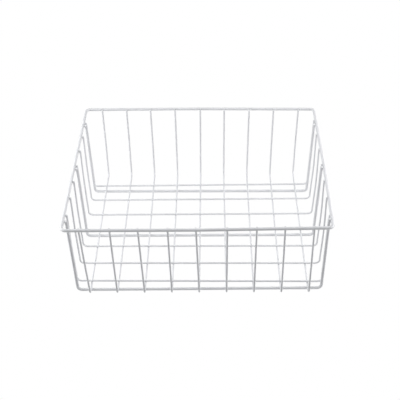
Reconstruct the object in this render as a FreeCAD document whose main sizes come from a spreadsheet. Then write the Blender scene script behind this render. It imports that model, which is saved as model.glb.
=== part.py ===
import FreeCAD, Part
import os

import Sketcher

# A welded wire basket, open at the top.  Twenty separate bent wires make it:
#   top_rim                closed ring of heavy wire with rounded corners
#   front_to_back_wire_N   thin U wires: front wall, floor, back wall
#   side_to_side_wire_N    thin U wires: left wall, floor, right wall, on top of the others
#   frame_wire_...         heavy U wires under the floor, which the basket stands on
# Frame: +X to the right, +Y to the back, +Z up, origin on the standing surface under the
# middle of the rim.  Every U wire ends just inside the rim, where it is welded to it.

DIMENSIONS = {
    # wire diameters, coating included
    "rim_wire_diameter": 4.4,
    "frame_wire_diameter": 4.3,
    "thin_wire_diameter": 2.7,
    # outside size of the rim and height of its top above the standing surface
    "overall_width": 357.0,
    "overall_depth": 279.0,
    "overall_height": 134.0,
    # bends, measured on the wire's centre line
    "rim_corner_radius": 6.0,
    "thin_bend_radius": 6.5,
    "frame_bend_radius": 6.0,
    # places of the wires
    "long_pitch": 38.1,
    "cross_pitch": 35.25,
    "cross_middle": -4.75,
    "frame_front": -119.9,
    "frame_centre": -10.8,
    "frame_back": 92.7,
    # how much the front and back walls come in from the rim down to the floor, and how much
    # the heavy wires come in on the left and right walls
    "wall_taper": 2.0,
    "frame_taper": 1.0,
    # how far two crossing wires are pressed into each other by the spot weld
    "weld_depth": 0.2,
    # distance of the cut wire ends below the top of the rim, and their rounded edge: those of
    # the front_to_back wires are a little lower than the others
    "long_end_below_top": 1.6,
    "cross_end_below_top": 0.4,
    "end_rounding": 0.6,
}

# lengths that follow from the ones above
DERIVED = {
    "rim_centre": "overall_height - rim_wire_diameter / 2",
    "long_end": "overall_height - long_end_below_top",
    "cross_end": "overall_height - cross_end_below_top",
    "frame_floor": "frame_wire_diameter / 2",
    "long_floor": "frame_floor + (frame_wire_diameter + thin_wire_diameter) / 2 - weld_depth",
    "cross_floor": "long_floor + thin_wire_diameter - weld_depth",
    "rim_half_width": "(overall_width - rim_wire_diameter) / 2",
    "rim_half_depth": "(overall_depth - rim_wire_diameter) / 2",
    "thin_inset": "(rim_wire_diameter + thin_wire_diameter) / 2 - weld_depth",
    "frame_inset": "(rim_wire_diameter + frame_wire_diameter) / 2 - weld_depth",
    "long_top_y": "rim_half_depth - thin_inset",
    "long_low_y": "long_top_y - wall_taper",
    "cross_x": "rim_half_width - thin_inset",
    "frame_x": "rim_half_width - frame_inset",
    "frame_low_x": "frame_x - frame_taper",
}

# a cut end on a leaning wall is not quite level, and its edge stays within this height
END_SLOPE = 0.1

LONG_WIRES = 9
CROSS_WIRES = 7
FRAME_WIRES = {"frame_wire_front": "frame_front",
               "frame_wire_middle": "frame_centre",
               "frame_wire_back": "frame_back"}

doc = FreeCAD.newDocument("wire_basket")


def make_sheet():
    """The spreadsheet that drives every wire."""
    sheet = doc.addObject("Spreadsheet::Sheet", "dims")
    rows = [(name, str(value)) for name, value in DIMENSIONS.items()]
    rows += [(name, "=" + formula) for name, formula in DERIVED.items()]
    for row, (name, content) in enumerate(rows, start=1):
        sheet.set(f"A{row}", name)
        sheet.set(f"B{row}", content)
        sheet.setAlias(f"B{row}", name)
    doc.recompute()
    return sheet


sheet = make_sheet()


def size(name):
    return float(sheet.get(name))


def sketch_on(body, role, name):
    """A sketch on one of the body's own origin planes."""
    sketch = body.newObject("Sketcher::SketchObject", name)
    plane = next(item for item in body.Origin.OriginFeatures if item.Role == role)
    sketch.AttachmentSupport = [(plane, "")]
    sketch.MapMode = "FlatFace"
    return sketch


def constrain(sketch, kind, *where):
    """Adds a constraint without a size."""
    sketch.addConstraint(Sketcher.Constraint(kind, *where))


def dimension(sketch, kind, where, value, name, formula):
    """Adds a named driving constraint and binds it to the sheet."""
    index = sketch.addConstraint(Sketcher.Constraint(kind, *where, value))
    sketch.renameConstraint(index, name)
    sketch.setExpression(f"Constraints.{name}", formula)


START, END, CENTRE = 1, 2, 3  # the points of a line, an arc or a circle in a sketch
ORIGIN = (-1, START)


def draw_u_spine(sketch, top, low, floor, end, radius):
    """The centre line of a U wire: down one wall, across the floor and up the other wall.

    top and low are the half spans at the wire's ends and at the foot of its walls, floor and
    end are the heights of its lowest stretch and of its ends, all as names in the sheet."""
    t, l, f, e, r = (size(name) for name in (top, low, floor, end, radius))
    point = FreeCAD.Vector
    left_wall, floor_line, right_wall = sketch.addGeometry([
        Part.LineSegment(point(-t, e, 0), point(-l, f + r, 0)),
        Part.LineSegment(point(-l + r, f, 0), point(l - r, f, 0)),
        Part.LineSegment(point(l, f + r, 0), point(t, e, 0)),
    ], False)
    diagonal = r * 0.5 ** 0.5
    left_bend, right_bend = sketch.addGeometry([
        Part.Arc(point(-l, f + r, 0),
                 point(-l + r - diagonal, f + r - diagonal, 0),
                 point(-l + r, f, 0)),
        Part.Arc(point(l - r, f, 0),
                 point(l - r + diagonal, f + r - diagonal, 0),
                 point(l, f + r, 0)),
    ], False)
    # an arc runs anticlockwise from its start, so each bend starts at the left
    constrain(sketch, "Tangent", left_wall, END, left_bend, START)
    constrain(sketch, "Tangent", left_bend, END, floor_line, START)
    constrain(sketch, "Tangent", floor_line, END, right_bend, START)
    constrain(sketch, "Tangent", right_bend, END, right_wall, START)
    constrain(sketch, "Horizontal", floor_line)
    constrain(sketch, "Equal", left_bend, right_bend)
    dimension(sketch, "Radius", (left_bend,), r, "bend", f"dims.{radius}")
    dimension(sketch, "DistanceY", (*ORIGIN, floor_line, START), f, "floor", f"dims.{floor}")
    dimension(sketch, "DistanceY", (*ORIGIN, left_wall, START), e, "end", f"dims.{end}")
    constrain(sketch, "Horizontal", left_wall, START, right_wall, END)
    dimension(sketch, "DistanceX", (left_wall, START, *ORIGIN), t, "left_top", f"dims.{top}")
    dimension(sketch, "DistanceX", (*ORIGIN, right_wall, END), t, "right_top", f"dims.{top}")
    dimension(sketch, "DistanceX", (left_wall, END, *ORIGIN), l, "left_low", f"dims.{low}")
    dimension(sketch, "DistanceX", (*ORIGIN, right_wall, START), l, "right_low", f"dims.{low}")


def section_at_start(body, spine, diameter):
    """The wire's round section, square to the spine at its first end."""
    section = body.newObject("Sketcher::SketchObject", "section")
    section.AttachmentSupport = [(spine, "Edge1")]
    section.MapMode = "NormalToEdge"
    section.MapPathParameter = 0
    circle = section.addGeometry(
        Part.Circle(FreeCAD.Vector(0, 0, 0), FreeCAD.Vector(0, 0, 1), size(diameter) / 2), False)
    constrain(section, "Coincident", circle, CENTRE, *ORIGIN)
    dimension(section, "Diameter", (circle,), size(diameter), "diameter", f"dims.{diameter}")
    return section


def sweep(body, section, spine):
    """Sweeps the round section along the spine."""
    pipe = body.newObject("PartDesign::AdditivePipe", "wire")
    pipe.Profile = (section, [""])
    pipe.Spine = (spine, [f"Edge{n + 1}" for n in range(spine.GeometryCount)])
    pipe.Mode = "Frenet"
    section.Visibility = spine.Visibility = False
    return pipe


def round_ends(body, pipe, end):
    """Rounds the rims of the two cut ends, which the coating leaves soft."""
    doc.recompute()
    edges = [f"Edge{n}" for n, edge in enumerate(pipe.Shape.Edges, start=1)
             if edge.BoundBox.ZMin > size(end) - END_SLOPE]
    rounding = body.newObject("PartDesign::Fillet", "soft_ends")
    rounding.Base = (pipe, edges)
    rounding.Radius = size("end_rounding")
    rounding.setExpression("Radius", "dims.end_rounding")
    body.Tip = rounding


def u_wire(name, role, top, low, floor, end, radius, diameter, place):
    """One U wire in the plane of the given role, moved sideways by the formula in place."""
    body = doc.addObject("PartDesign::Body", name)
    body.Label = name
    spine = sketch_on(body, role, "spine")
    draw_u_spine(spine, top, low, floor, end, radius)
    section = section_at_start(body, spine, diameter)
    pipe = sweep(body, section, spine)
    axis = "y" if role == "XZ_Plane" else "x"
    body.setExpression(f"Placement.Base.{axis}", place)
    round_ends(body, pipe, end)
    return body


def rim():
    """The closed top ring: four sides and four rounded corners, starting mid-back."""
    body = doc.addObject("PartDesign::Body", "top_rim")
    body.Label = "top_rim"
    x, y, r = size("rim_half_width"), size("rim_half_depth"), size("rim_corner_radius")
    spine = sketch_on(body, "XY_Plane", "spine")
    point = FreeCAD.Vector
    diagonal = r * (1 - 0.5 ** 0.5)
    # the back side is in two halves, because the ring's butt weld is at the middle of it
    lines = spine.addGeometry([
        Part.LineSegment(point(0, y, 0), point(-x + r, y, 0)),
        Part.LineSegment(point(-x, y - r, 0), point(-x, -y + r, 0)),
        Part.LineSegment(point(-x + r, -y, 0), point(x - r, -y, 0)),
        Part.LineSegment(point(x, -y + r, 0), point(x, y - r, 0)),
        Part.LineSegment(point(x - r, y, 0), point(0, y, 0)),
    ], False)
    arcs = spine.addGeometry([
        Part.Arc(point(-x + r, y, 0), point(-x + diagonal, y - diagonal, 0), point(-x, y - r, 0)),
        Part.Arc(point(-x, -y + r, 0), point(-x + diagonal, -y + diagonal, 0),
                 point(-x + r, -y, 0)),
        Part.Arc(point(x - r, -y, 0), point(x - diagonal, -y + diagonal, 0), point(x, -y + r, 0)),
        Part.Arc(point(x, y - r, 0), point(x - diagonal, y - diagonal, 0), point(x - r, y, 0)),
    ], False)
    for before, arc, after in zip(lines, arcs, lines[1:]):
        constrain(spine, "Tangent", before, END, arc, START)
        constrain(spine, "Tangent", arc, END, after, START)
    for arc in arcs[1:]:
        constrain(spine, "Equal", arcs[0], arc)
    back_left, left, front, right, back_right = lines
    for line in (back_left, front, back_right):
        constrain(spine, "Horizontal", line)
    for line in (left, right):
        constrain(spine, "Vertical", line)
    constrain(spine, "Coincident", back_left, START, back_right, END)
    constrain(spine, "PointOnObject", back_left, START, -2)
    dimension(spine, "Radius", (arcs[0],), r, "corner", "dims.rim_corner_radius")
    dimension(spine, "DistanceY", (*ORIGIN, back_left, START), y, "back", "dims.rim_half_depth")
    dimension(spine, "DistanceY", (front, START, *ORIGIN), y, "front", "dims.rim_half_depth")
    dimension(spine, "DistanceX", (left, START, *ORIGIN), x, "left", "dims.rim_half_width")
    dimension(spine, "DistanceX", (*ORIGIN, right, START), x, "right", "dims.rim_half_width")
    sweep(body, section_at_start(body, spine, "rim_wire_diameter"), spine)
    body.setExpression("Placement.Base.z", "dims.rim_centre")
    return body


def make_wires():
    """All the wires, rim first."""
    wires = [rim()]
    middle = (LONG_WIRES + 1) / 2
    for n in range(1, LONG_WIRES + 1):
        wires.append(u_wire(f"front_to_back_wire_{n}", "YZ_Plane", "long_top_y", "long_low_y",
                            "long_floor", "long_end", "thin_bend_radius", "thin_wire_diameter",
                            f"({n - middle}) * dims.long_pitch"))
    middle = (CROSS_WIRES + 1) / 2
    for n in range(1, CROSS_WIRES + 1):
        wires.append(u_wire(f"side_to_side_wire_{n}", "XZ_Plane", "cross_x", "cross_x",
                            "cross_floor", "cross_end", "thin_bend_radius", "thin_wire_diameter",
                            f"dims.cross_middle + ({n - middle}) * dims.cross_pitch"))
    for name, place in FRAME_WIRES.items():
        wires.append(u_wire(name, "XZ_Plane", "frame_x", "frame_low_x", "frame_floor",
                            "cross_end", "frame_bend_radius", "frame_wire_diameter",
                            f"dims.{place}"))
    return wires


def check_and_export(wires):
    """Stops on any failed feature or bad solid, then writes one file for each wire."""
    for item in doc.Objects:
        if "Invalid" in item.State or "Error" in item.State:
            raise RuntimeError(f"{item.Name} failed: {item.State}")
    for wire in wires:
        shape = wire.Shape
        if shape.isNull() or not shape.isValid() or len(shape.Solids) != 1:
            raise RuntimeError(f"{wire.Label} is not one valid solid")
    os.makedirs("parts", exist_ok=True)
    for wire in wires:
        wire.Shape.exportStep(f"parts/{wire.Label}.step")
        box = wire.Shape.BoundBox
        print(f"{wire.Label}: {wire.Shape.Volume:.0f} mm3, x {box.XMin:.2f} {box.XMax:.2f}, "
              f"y {box.YMin:.2f} {box.YMax:.2f}, z {box.ZMin:.2f} {box.ZMax:.2f}")


wires = make_wires()
doc.recompute()
check_and_export(wires)
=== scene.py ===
import math

import bpy
from mathutils import Matrix, Vector, noise


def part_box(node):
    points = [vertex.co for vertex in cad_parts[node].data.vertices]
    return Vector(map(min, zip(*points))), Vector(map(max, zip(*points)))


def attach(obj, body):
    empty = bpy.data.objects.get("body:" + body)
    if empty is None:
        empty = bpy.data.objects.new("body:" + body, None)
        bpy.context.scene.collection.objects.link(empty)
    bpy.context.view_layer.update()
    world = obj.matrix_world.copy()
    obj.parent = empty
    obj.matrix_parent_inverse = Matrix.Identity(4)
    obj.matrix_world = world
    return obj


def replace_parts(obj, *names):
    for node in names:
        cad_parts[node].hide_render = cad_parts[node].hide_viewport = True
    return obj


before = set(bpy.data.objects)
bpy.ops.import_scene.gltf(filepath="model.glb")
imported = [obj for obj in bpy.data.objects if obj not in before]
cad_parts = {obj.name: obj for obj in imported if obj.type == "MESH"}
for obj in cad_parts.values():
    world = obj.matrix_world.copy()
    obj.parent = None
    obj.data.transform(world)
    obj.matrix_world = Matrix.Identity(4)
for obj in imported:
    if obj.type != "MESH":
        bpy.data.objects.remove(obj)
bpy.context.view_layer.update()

# A white coated basket of welded wire.  Each wire is a bent tube of its own that stands for its
# CAD node, and small beads of coating fill the grooves at the welds.  Lengths are in metres
# unless their comment says otherwise.

MM = 0.001
BODY = "root"

LONG_WIRES = [f"front_to_back_wire_{n}" for n in range(1, 10)]
CROSS_WIRES = [f"side_to_side_wire_{n}" for n in range(1, 8)]
FRAME_WIRES = ["frame_wire_front", "frame_wire_middle", "frame_wire_back"]
RIM = "top_rim"

# the CAD wires' bends, how far their walls come in from the rim to the floor, and their cut ends
THIN_BEND = 6.5 * MM
FRAME_BEND = 6 * MM
RIM_CORNER = 6 * MM
WALL_TAPER = 2 * MM
FRAME_TAPER = 1 * MM
END_ROUNDING = 0.6 * MM

# how the real basket strays from the straight lines of the drawing, in millimetres:
# how far the tops of the front and back walls' wires lean to the right
FRONT_LEAN = [-2, 0, -1.5, -1, -2.5, 0, 0, -1.5, -2]
BACK_LEAN = [1.5, 1, 0, 0, 1, 0, 0.5, 0, 0]
# how far the walls bulge outwards half way up: front and back, left and right
LONG_BOW = (0.5, 1.5)
SIDE_BOW = (0.5, 1.0)
# how far the tops of the left and right walls' wires lie to the right
SIDE_SHIFT = 0.6
# how far the outermost of the wires that run side to side spread apart at their right ends and
# draw together at their left ends; a negative value is the other way round
THIN_FAN = 1.8
FRAME_FAN = -1.2
# how far the rim's front and back bars come in at the right, and its front right corner to the left
RIM_PINCH = 3.0
RIM_SKEW = 2.5

# fineness of the tubes: rings along straight runs, in a bend and over a cut end's soft edge, and
# the corners of each ring
RING_SPACING = 2 * MM
BEND_RINGS = 12
EDGE_RINGS = 4
SIDES = 16
# no ring of the wire itself is nearer to a cut end than this
END_CLEARANCE = 1.5 * END_ROUNDING

# the coating is up to this share thinner in places, in waves of so many a metre; each wire's
# waves are taken from another place
COAT_VARIATION = 0.03
COAT_WAVES = 60
SEED_STEP = Vector((7.3, 3.1, 5.7))


# ---------------------------------------------------------------- materials

# sizes of the noise patterns in the coating, as waves a metre
TONE_SCALE = 45
GLOSS_SCALE = 160
PEEL_SCALE = 900
# nearly all of a noise pattern lies between these two values
NOISE_LOW, NOISE_HIGH = 0.3, 0.7


def node_tree(material):
    """An emptied node tree and its output node."""
    material.use_nodes = True
    tree = material.node_tree
    tree.nodes.clear()
    return tree, tree.nodes.new("ShaderNodeOutputMaterial")


def add_noise(tree, coordinates, scale, detail):
    """A noise pattern's values."""
    texture = tree.nodes.new("ShaderNodeTexNoise")
    texture.inputs["Scale"].default_value = scale
    texture.inputs["Detail"].default_value = detail
    tree.links.new(coordinates, texture.inputs["Vector"])
    return texture.outputs["Fac"]


def map_range(tree, value, low, high):
    """The noise value, stretched to run from low to high."""
    stretch = tree.nodes.new("ShaderNodeMapRange")
    stretch.inputs["From Min"].default_value = NOISE_LOW
    stretch.inputs["From Max"].default_value = NOISE_HIGH
    stretch.inputs["To Min"].default_value = low
    stretch.inputs["To Max"].default_value = high
    tree.links.new(value, stretch.inputs["Value"])
    return stretch.outputs["Result"]


def white_coating():
    """Smooth white coating: faint tone patches, uneven gloss and a fine orange peel."""
    material = bpy.data.materials.new("white_coating")
    tree, output = node_tree(material)
    links = tree.links
    place = tree.nodes.new("ShaderNodeTexCoord").outputs["Object"]
    shader = tree.nodes.new("ShaderNodeBsdfPrincipled")
    shader.inputs["Specular IOR Level"].default_value = 0.5
    shader.inputs["Coat Weight"].default_value = 0.25
    shader.inputs["Coat Roughness"].default_value = 0.12
    tone = tree.nodes.new("ShaderNodeMix")
    tone.data_type = "RGBA"
    tone.inputs["A"].default_value = (0.796, 0.804, 0.83, 1)
    tone.inputs["B"].default_value = (0.856, 0.86, 0.88, 1)
    links.new(add_noise(tree, place, TONE_SCALE, 3), tone.inputs["Factor"])
    links.new(tone.outputs["Result"], shader.inputs["Base Color"])
    roughness = map_range(tree, add_noise(tree, place, GLOSS_SCALE, 2), 0.30, 0.42)
    links.new(roughness, shader.inputs["Roughness"])
    peel = tree.nodes.new("ShaderNodeBump")
    peel.inputs["Strength"].default_value = 0.25
    peel.inputs["Distance"].default_value = 0.05 * MM
    links.new(add_noise(tree, place, PEEL_SCALE, 2), peel.inputs["Height"])
    links.new(peel.outputs["Normal"], shader.inputs["Normal"])
    links.new(shader.outputs["BSDF"], output.inputs["Surface"])
    return material


COATING = white_coating()


# ---------------------------------------------------------------- centre lines

def straight(start, end):
    """Evenly spaced points from start up to, but not including, end."""
    count = max(2, round((end - start).length / RING_SPACING))
    return [start.lerp(end, i / count) for i in range(count)]


def bend(start, corner, end):
    """Points of the arc that leaves start towards corner and arrives at end, without end."""
    turn = math.pi - (start - corner).angle(end - corner)
    radius = (start - corner).length / math.tan(turn / 2)
    middle = ((start + end) / 2 - corner).normalized()
    centre = corner + middle * (radius / math.cos(turn / 2))
    out, forward = start - centre, (corner - start).normalized() * radius
    angles = [turn * i / BEND_RINGS for i in range(BEND_RINGS)]
    return [centre + out * math.cos(a) + forward * math.sin(a) for a in angles]


def rounded_line(corners, radius, closed=False):
    """A centre line of straight runs joined by bends of one radius."""
    count = len(corners)
    turns = range(count) if closed else range(1, count - 1)
    bends = []
    for i in turns:
        here = corners[i]
        back = (corners[i - 1] - here).normalized()
        on = (corners[(i + 1) % count] - here).normalized()
        cut = radius * math.tan((math.pi - back.angle(on)) / 2)
        bends.append((here + back * cut, here, here + on * cut))
    last = bends[-1][2] if closed else corners[0]
    points = []
    for start, corner, end in bends:
        points += straight(last, start) + bend(start, corner, end)
        last = end
    if not closed:
        points += straight(last, corners[-1]) + [corners[-1]]
    return points


# ---------------------------------------------------------------- tubes

def make_piece(name, verts, faces):
    """A smooth-shaded mesh that rides on the basket and has its coating."""
    mesh = bpy.data.meshes.new(name)
    mesh.from_pydata(verts, [], faces)
    mesh.shade_smooth()
    piece = bpy.data.objects.new(name, mesh)
    bpy.context.scene.collection.objects.link(piece)
    mesh.materials.append(COATING)
    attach(piece, BODY)
    return piece


def coated_radius(radius, point, seed):
    """The wire's radius at a point, a little less where the coating is thin."""
    where = point * COAT_WAVES + SEED_STEP * seed
    return radius * (1 - COAT_VARIATION * (0.5 + 0.5 * noise.noise(where)))


def rings_along(path, radius, seed, closed):
    """(centre, direction, across, radius) for each cross section of a tube, with no twist."""
    count = len(path)
    rings, across, previous = [], None, None
    for i, point in enumerate(path):
        before = path[i - 1] if closed or i else point
        after = path[(i + 1) % count] if closed or i < count - 1 else point
        along = (after - before).normalized()
        across = along.orthogonal() if i == 0 else previous.rotation_difference(along) @ across
        across.normalize()
        rings.append((point, along, across.copy(), coated_radius(radius, point, seed)))
        previous = along
    return rings


def rounded_end(ring, outward):
    """The rings of a cut end, from its flat face to the wire's full radius."""
    centre, along, across, radius = ring
    angles = [math.pi / 2 * k / EDGE_RINGS for k in range(EDGE_RINGS)]
    return [(centre - along * outward * END_ROUNDING * math.sin(a),
             along, across, radius - END_ROUNDING * (1 - math.sin(a))) for a in angles]


def skin(rings, closed):
    """Vertices and faces of a tube through the rings."""
    verts, faces = [], []
    for centre, along, across, radius in rings:
        side = along.cross(across)
        for k in range(SIDES):
            angle = 2 * math.pi * k / SIDES
            verts.append(centre + (across * math.cos(angle) + side * math.sin(angle)) * radius)
    count = len(rings)
    for i in range(count if closed else count - 1):
        low, high = i * SIDES, (i + 1) % count * SIDES
        for k in range(SIDES):
            after = (k + 1) % SIDES
            faces.append((low + k, low + after, high + after, high + k))
    if not closed:
        for first, centre, forward in ((0, rings[0][0], False),
                                       ((count - 1) * SIDES, rings[-1][0], True)):
            middle = len(verts)
            verts.append(centre)
            for k in range(SIDES):
                a, b = first + k, first + (k + 1) % SIDES
                faces.append((a, b, middle) if forward else (b, a, middle))
    return verts, faces


def tube(name, path, radius, seed, closed=False):
    """A coated wire along a path; its ends, if it has any, have a soft edge."""
    rings = rings_along(path, radius, seed, closed)
    if not closed:
        ends = path[0], path[-1]
        inner = [ring for ring in rings
                 if min((ring[0] - end).length for end in ends) > END_CLEARANCE]
        rings = rounded_end(rings[0], -1) + inner + rounded_end(rings[-1], 1)[::-1]
    return make_piece(name, *skin(rings, closed))


# ---------------------------------------------------------------- the wires

class Rim:
    """The rim's size, read from its CAD node, and how far it strays from its straight bars."""

    def __init__(self):
        low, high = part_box(RIM)
        self.radius = (high.z - low.z) / 2
        self.half = (high.x - self.radius, high.y - self.radius)
        self.z = low.z + self.radius

    def stray(self, x, y):
        """How far the rim lies to the right and to the back of the drawing at a place."""
        across, back = x / self.half[0], y / self.half[1]
        right_half, front_half = max(0, across), max(0, -back)
        return -RIM_SKEW * right_half * front_half * MM, -RIM_PINCH * right_half * back * MM


rim = Rim()


class Wire:
    """A U wire: its size and place, read from its CAD node, and how it strays from straight.

    across is the index of the axis that the wire spans, and beside that of the other one.
    bow and lean are those of its walls at the low and the high end of that span, shift is how
    far its tops lie towards the high end, and fan how far it spreads from its neighbours."""

    def __init__(self, node, bend_radius, taper, bow=(0, 0), lean=(0, 0), shift=0, fan=0):
        low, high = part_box(node)
        self.across = 0 if high.x - low.x > high.y - low.y else 1
        self.beside = 1 - self.across
        self.radius = (high[self.beside] - low[self.beside]) / 2
        self.place = (high[self.beside] + low[self.beside]) / 2
        self.half_span = (high[self.across] - low[self.across]) / 2 - self.radius
        self.floor = low.z + self.radius
        self.top = high.z
        self.bend_radius = bend_radius
        self.taper = taper
        self.bow = bow
        self.lean = lean
        self.shift = shift * MM
        self.fan = fan

    def point(self, across, beside, z):
        """The point so far along the wire's span, so far beside it and so high."""
        spot = Vector((0, 0, z))
        spot[self.across] = across
        spot[self.beside] = beside
        return spot

    def drift(self, across):
        """How far the wire has spread from its neighbours at a place along its span."""
        share = across / rim.half[self.across] * self.place / rim.half[self.beside]
        return self.fan * share * MM

    def centre_line(self):
        """Wall, floor, wall."""
        foot = self.half_span - self.taper
        corners = [self.point(-self.half_span, self.place, self.top),
                   self.point(-foot, self.place, self.floor),
                   self.point(foot, self.place, self.floor),
                   self.point(self.half_span, self.place, self.top)]
        path = rounded_line(corners, self.bend_radius)
        wall_foot = self.floor + self.bend_radius
        for point in path:
            rise = max(0, (point.z - wall_foot) / (self.top - wall_foot))
            high_end = point[self.across] > 0
            side = 1 if high_end else -1
            at_rim = rim.stray(point.x, point.y)[self.across]
            bulge = side * self.bow[high_end] * math.sin(math.pi * rise) ** 2 * MM
            point[self.beside] += self.drift(point[self.across]) + self.lean[high_end] * rise * MM
            point[self.across] += bulge + (at_rim + self.shift) * rise
        return path


def build_u_wires():
    """The thin and heavy U wires by name; each stands for its CAD node."""
    wires = {}
    for name, front, back in zip(LONG_WIRES, FRONT_LEAN, BACK_LEAN):
        wires[name] = Wire(name, THIN_BEND, WALL_TAPER, LONG_BOW, lean=(front, back))
    for name in CROSS_WIRES:
        wires[name] = Wire(name, THIN_BEND, 0, SIDE_BOW, shift=SIDE_SHIFT, fan=THIN_FAN)
    for name in FRAME_WIRES:
        wires[name] = Wire(name, FRAME_BEND, FRAME_TAPER, shift=SIDE_SHIFT, fan=FRAME_FAN)
    for seed, (name, wire) in enumerate(wires.items(), start=2):
        path = wire.centre_line()
        wire.tops = (path[0], path[-1])
        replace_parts(tube(f"{name}_coated", path, wire.radius, seed), name)
    return wires


def build_rim():
    """The closed rim."""
    half_x, half_y = rim.half
    corners = [Vector((x, y, rim.z)) for x, y in ((half_x, half_y), (-half_x, half_y),
                                                  (-half_x, -half_y), (half_x, -half_y))]
    path = rounded_line(corners, RIM_CORNER, closed=True)
    for point in path:
        right, behind = rim.stray(point.x, point.y)
        point.x += right
        point.y += behind
    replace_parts(tube("top_rim_coated", path, rim.radius, 1, closed=True), RIM)


# ---------------------------------------------------------------- weld beads

BEAD_SIDES = 24
BEAD_RINGS = 7
# how far a bead spreads, as a share of each wire's radius, and how far its middle is drawn in, as
# a share of its height
BEAD_REACH = 0.93
BEAD_WAIST = 0.3
# how far its edges sink into the wires
BEAD_SINK = 0.04 * MM


def bead(centre_a, along_a, radius_a, centre_b, along_b, radius_b):
    """The bead between two crossing wires: a ring of coating in the groove around their weld.

    centre_a and centre_b are the points of the two centre lines nearest to each other."""
    gap = centre_a - centre_b
    up = gap.normalized()
    overlap = radius_a + radius_b - gap.length
    weld = centre_b + up * (radius_b - overlap / 2)
    verts = []
    for k in range(BEAD_SIDES):
        angle = 2 * math.pi * k / BEAD_SIDES
        c, s = math.cos(angle), math.sin(angle)
        reach = BEAD_REACH / math.hypot(c / radius_b, s / radius_a)
        top = radius_a - overlap / 2 - math.sqrt(radius_a ** 2 - (reach * s) ** 2)
        bottom = -radius_b + overlap / 2 + math.sqrt(radius_b ** 2 - (reach * c) ** 2)
        top, bottom = top + BEAD_SINK, bottom - BEAD_SINK
        out = along_a * c + along_b * s
        for i in range(BEAD_RINGS):
            t = i / (BEAD_RINGS - 1)
            drawn_in = BEAD_WAIST * (top - bottom) * math.sin(math.pi * t)
            verts.append(weld + out * (reach - drawn_in) + up * (bottom + (top - bottom) * t))
    faces = []
    for k in range(BEAD_SIDES):
        a, b = k * BEAD_RINGS, (k + 1) % BEAD_SIDES * BEAD_RINGS
        faces += [(a + i, b + i, b + i + 1, a + i + 1) for i in range(BEAD_RINGS - 1)]
    ends = len(verts)
    verts += [weld - up * BEAD_SINK, weld + up * BEAD_SINK]
    for k in range(BEAD_SIDES):
        a, b = k * BEAD_RINGS, (k + 1) % BEAD_SIDES * BEAD_RINGS
        faces += [(b, a, ends), (a + BEAD_RINGS - 1, b + BEAD_RINGS - 1, ends + 1)]
    return verts, faces


def bead_piece(name, crossings):
    """One piece of all the beads at the given crossings."""
    verts, faces = [], []
    for crossing in crossings:
        more_verts, more_faces = bead(*crossing)
        faces += [tuple(i + len(verts) for i in face) for face in more_faces]
        verts += more_verts
    return make_piece(name, verts, faces)


# the directions to the right and to the back
X, Y = Vector((1, 0, 0)), Vector((0, 1, 0))


def floor_crossings(wires, names):
    """Where the front-to-back wires cross the named ones; the upper wire comes first."""
    crossings = []
    for long_name in LONG_WIRES:
        long = wires[long_name]
        for name in names:
            other = wires[name]
            y = other.place + other.drift(long.place)
            on_long = Vector((long.place, y, long.floor))
            on_other = Vector((long.place, y, other.floor))
            if other.floor > long.floor:
                crossings.append((on_other, X, other.radius, on_long, Y, long.radius))
            else:
                crossings.append((on_long, Y, long.radius, on_other, -X, other.radius))
    return crossings


def rim_crossings(wires):
    """Where the tops of the U wires meet the rim, which comes first."""
    crossings = []
    for wire in wires.values():
        along = (X, Y)[wire.beside]
        for side, top in zip((-1, 1), wire.tops):
            on_wire = wire.point(top[wire.across], top[wire.beside], rim.z)
            on_rim = wire.point(side * rim.half[wire.across], top[wire.beside], rim.z)
            on_rim[wire.across] += rim.stray(on_rim.x, on_rim.y)[wire.across]
            outward = (on_rim - on_wire).normalized()
            crossings.append((on_rim, along, rim.radius,
                              on_wire, outward.cross(along), wire.radius))
    return crossings


def build_beads(wires):
    """Beads where floor wires cross, and where wires meet the rim."""
    bead_piece("floor_weld_beads", floor_crossings(wires, CROSS_WIRES))
    bead_piece("frame_weld_beads", floor_crossings(wires, FRAME_WIRES))
    bead_piece("rim_weld_beads", rim_crossings(wires))


build_rim()
build_beads(build_u_wires())


# ---------------------------------------------------------------- studio

# the round floor's flat radius, the radius of the curve at its edge and the backdrop's height
COVE_FLAT = 2.5
COVE_CURVE = 1.0
COVE_HEIGHT = 4.0
COVE_STEPS = 12
COVE_SIDES = 72

WORLD_TINT = (0.98, 0.99, 1, 1)
WORLD_STRENGTH = 0.31

# the soft boxes: size, place, the point that they face and power in watts
SOFT_BOXES = {
    "overhead": ((0.9, 0.5), (0, 0.05, 0.7), (0, 0, 0), 1.6),
    "left": ((0.5, 0.4), (-0.6, -0.03, 0.25), (0, 0, 0.06), 2.35),
    "right": ((0.5, 0.4), (0.6, -0.03, 0.25), (0, 0, 0.06), 2.0),
    "floor_glow": ((0.36, 0.28), (0, 0.01, 0.5 * MM), (0, 0.01, 1), 0.098),
}

CAMERA_PLACE = (0.01876, -0.85129, 0.80309)
CAMERA_LENS = 68.75
# how far the camera looks down, turns to the right and leans to its left, in degrees
CAMERA_PITCH, CAMERA_YAW, CAMERA_ROLL = 40.976, -1.212, -1.106


def pale_backdrop():
    """Evenly lit white paper: it shows the same pale tone everywhere."""
    material = bpy.data.materials.new("pale_backdrop")
    tree, output = node_tree(material)
    glow = tree.nodes.new("ShaderNodeEmission")
    glow.inputs["Color"].default_value = (1, 1, 1, 1)
    glow.inputs["Strength"].default_value = 1.0
    tree.links.new(glow.outputs["Emission"], output.inputs["Surface"])
    return material


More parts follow.
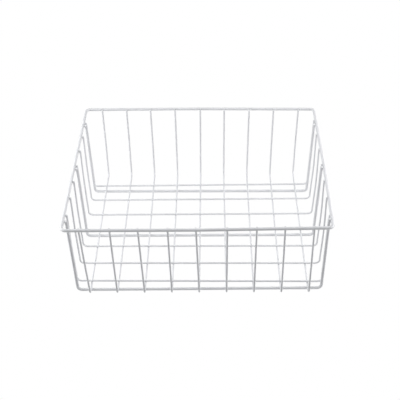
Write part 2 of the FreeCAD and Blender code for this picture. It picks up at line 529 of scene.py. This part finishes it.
def build_floor():
    """A pale round floor whose edge curves up into a backdrop all the way round."""
    profile = [(COVE_FLAT, 0.0)]
    for step in range(1, COVE_STEPS + 1):
        turn = math.pi / 2 * step / COVE_STEPS
        profile.append((COVE_FLAT + COVE_CURVE * math.sin(turn), COVE_CURVE * (1 - math.cos(turn))))
    profile.append((COVE_FLAT + COVE_CURVE, COVE_HEIGHT))
    verts = [(0, 0, 0)]
    for radius, z in profile:
        for k in range(COVE_SIDES):
            angle = 2 * math.pi * k / COVE_SIDES
            verts.append((radius * math.cos(angle), radius * math.sin(angle), z))
    faces = []
    for k in range(COVE_SIDES):
        after = (k + 1) % COVE_SIDES
        faces.append((0, 1 + k, 1 + after))
        for row in range(len(profile) - 1):
            low, high = 1 + row * COVE_SIDES, 1 + (row + 1) * COVE_SIDES
            faces.append((low + k, high + k, high + after, low + after))
    mesh = bpy.data.meshes.new("floor")
    mesh.from_pydata(verts, [], faces)
    mesh.materials.append(pale_backdrop())
    floor = bpy.data.objects.new("floor", mesh)
    bpy.context.scene.collection.objects.link(floor)
    floor.visible_diffuse = False
    floor.visible_shadow = False


def build_world():
    """Dim even light from every side."""
    world = bpy.data.worlds.new("studio")
    bpy.context.scene.world = world
    world.use_nodes = True
    tree = world.node_tree
    tree.nodes.clear()
    background = tree.nodes.new("ShaderNodeBackground")
    background.inputs["Color"].default_value = WORLD_TINT
    background.inputs["Strength"].default_value = WORLD_STRENGTH
    output = tree.nodes.new("ShaderNodeOutputWorld")
    tree.links.new(background.outputs["Background"], output.inputs["Surface"])


def soft_box(name, size, place, target, power):
    """A rectangular soft light that faces the target and does not show in the picture."""
    data = bpy.data.lights.new(name, "AREA")
    data.shape = "RECTANGLE"
    data.size, data.size_y = size
    data.energy = power
    light = bpy.data.objects.new(name, data)
    light.location = place
    aim = Vector(target) - Vector(place)
    light.rotation_euler = aim.to_track_quat("-Z", "Y").to_euler()
    light.visible_camera = False
    bpy.context.scene.collection.objects.link(light)


def build_lights():
    """A soft box overhead and at each side, and the glow of the pale floor from below."""
    for name, settings in SOFT_BOXES.items():
        soft_box(name, *settings)


def build_camera():
    """The camera, looking down at the basket from the front."""
    pitch, yaw, roll = (math.radians(a) for a in (CAMERA_PITCH, CAMERA_YAW, CAMERA_ROLL))
    data = bpy.data.cameras.new("camera")
    data.sensor_width = 36
    data.lens = CAMERA_LENS
    data.clip_end = 50
    camera = bpy.data.objects.new("camera", data)
    turn = (Matrix.Rotation(-yaw, 4, "Z") @ Matrix.Rotation(math.pi / 2 - pitch, 4, "X")
            @ Matrix.Rotation(roll, 4, "Z"))
    camera.matrix_world = Matrix.Translation(CAMERA_PLACE) @ turn
    bpy.context.scene.collection.objects.link(camera)
    bpy.context.scene.camera = camera


build_floor()
build_world()
build_lights()
build_camera()
# colours are shown as they are, so that the paper stays white
bpy.context.scene.view_settings.view_transform = "Standard"
